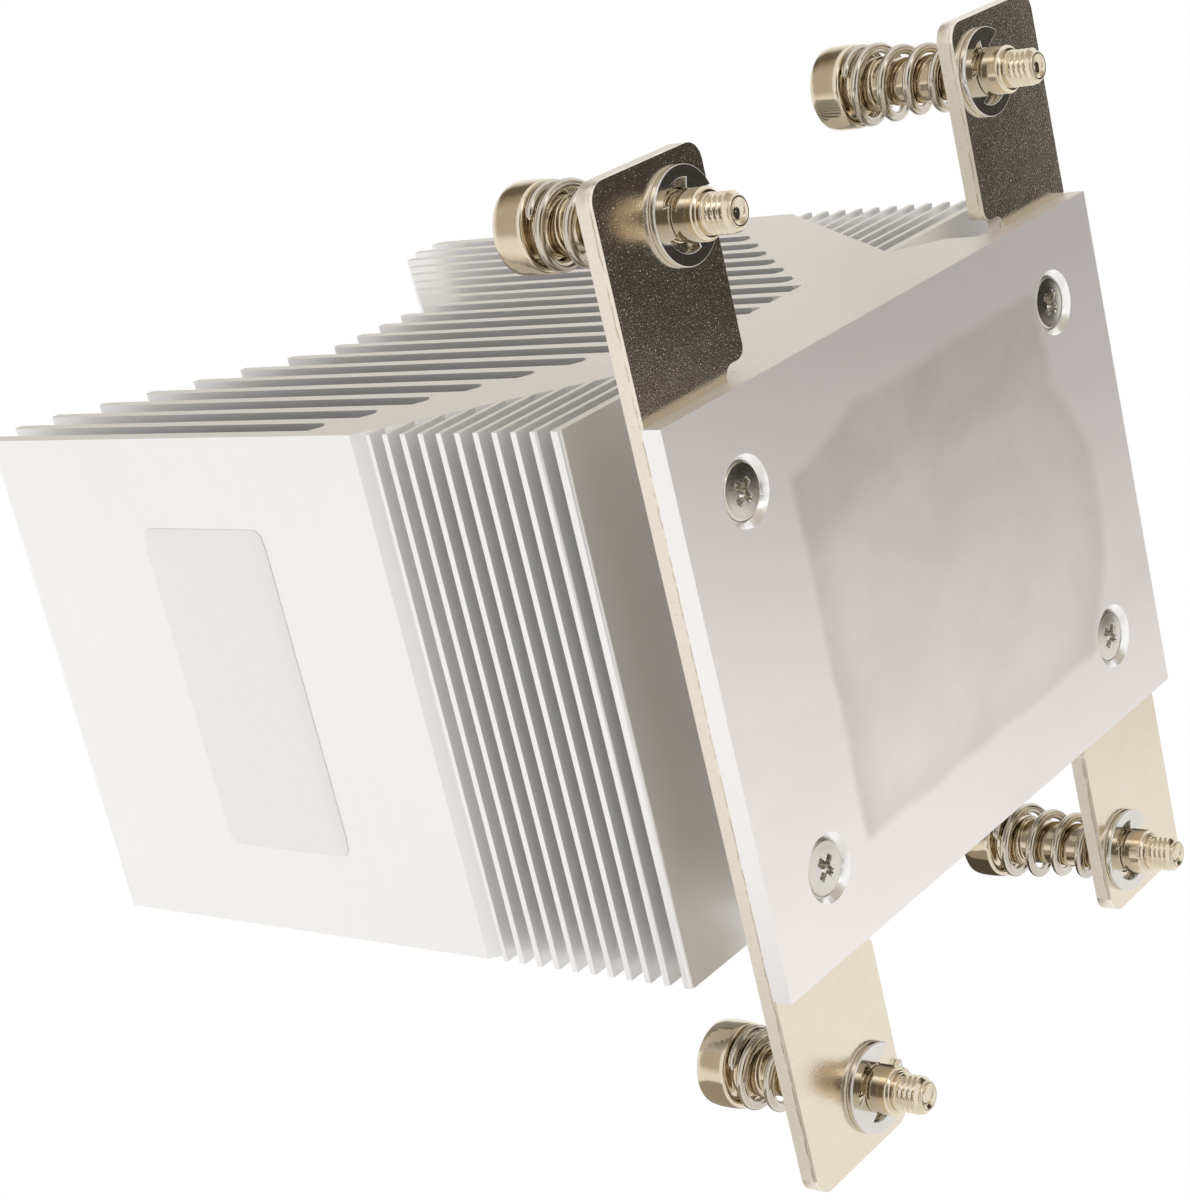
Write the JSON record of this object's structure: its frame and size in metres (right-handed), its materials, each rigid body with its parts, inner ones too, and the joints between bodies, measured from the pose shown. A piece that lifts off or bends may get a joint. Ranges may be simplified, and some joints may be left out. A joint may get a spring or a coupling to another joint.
{
  "type": "cpu heatsink",
  "caption": "Passive extruded aluminium heatsink with two steel strips and sprung captive screws at its corners.",
  "frame": {"origin": "centre of the contact face that sits on the processor", "axes": "+X across the fins, +Y along the extrusion, +Z from the contact face to the fins' tips"},
  "size_m": [0.0781, 0.102, 0.1004],
  "materials": {
    "aluminium": "satin extruded",
    "nickel_steel": "nickel-plated sheet",
    "bright_nickel": "nickel-plated",
    "dark_nickel": "dark nickel-plated",
    "paper_label": "plain matt paper"
  },
  "bodies": {
    "base": {"heatsink_extrusion": "aluminium", "bracket_left": "nickel_steel", "bracket_right": "nickel_steel", "base_screw_front_left": "dark_nickel", "spring_front_left": "bright_nickel", "base_screw_front_right": "dark_nickel", "spring_front_right": "bright_nickel", "base_screw_back_left": "dark_nickel", "spring_back_left": "bright_nickel", "base_screw_back_right": "dark_nickel", "spring_back_right": "bright_nickel", "label": "paper_label"},
    "ring_front_left": {"retaining_ring_front_left": "bright_nickel"},
    "screw_front_left": {"captive_screw_front_left": "bright_nickel"},
    "ring_front_right": {"retaining_ring_front_right": "bright_nickel"},
    "screw_front_right": {"captive_screw_front_right": "bright_nickel"},
    "ring_back_left": {"retaining_ring_back_left": "bright_nickel"},
    "screw_back_left": {"captive_screw_back_left": "bright_nickel"},
    "ring_back_right": {"retaining_ring_back_right": "bright_nickel"},
    "screw_back_right": {"captive_screw_back_right": "bright_nickel"}
  },
  "joints": [
    {"name": "screw_press_front_left", "type": "slide", "parent": "base", "child": "ring_front_left", "axis": [0, 0, 1], "range_m": [-0.005, 0], "stiffness_N_per_m": 3000, "springref_m": 0.004, "deforming": ["spring_front_left"]},
    {"name": "screw_turn_front_left", "type": "hinge", "parent": "ring_front_left", "child": "screw_front_left", "pos_m": [-0.027, -0.045, 0], "axis": [0, 0, 1], "continuous": true},
    {"name": "screw_press_front_right", "type": "slide", "parent": "base", "child": "ring_front_right", "axis": [0, 0, 1], "range_m": [-0.005, 0], "stiffness_N_per_m": 3000, "springref_m": 0.004, "deforming": ["spring_front_right"]},
    {"name": "screw_turn_front_right", "type": "hinge", "parent": "ring_front_right", "child": "screw_front_right", "pos_m": [0.027, -0.045, 0], "axis": [0, 0, 1], "continuous": true},
    {"name": "screw_press_back_left", "type": "slide", "parent": "base", "child": "ring_back_left", "axis": [0, 0, 1], "range_m": [-0.005, 0], "stiffness_N_per_m": 3000, "springref_m": 0.004, "deforming": ["spring_back_left"]},
    {"name": "screw_turn_back_left", "type": "hinge", "parent": "ring_back_left", "child": "screw_back_left", "pos_m": [-0.027, 0.045, 0], "axis": [0, 0, 1], "continuous": true},
    {"name": "screw_press_back_right", "type": "slide", "parent": "base", "child": "ring_back_right", "axis": [0, 0, 1], "range_m": [-0.005, 0], "stiffness_N_per_m": 3000, "springref_m": 0.004, "deforming": ["spring_back_right"]},
    {"name": "screw_turn_back_right", "type": "hinge", "parent": "ring_back_right", "child": "screw_back_right", "pos_m": [0.027, 0.045, 0], "axis": [0, 0, 1], "continuous": true}
  ]
}
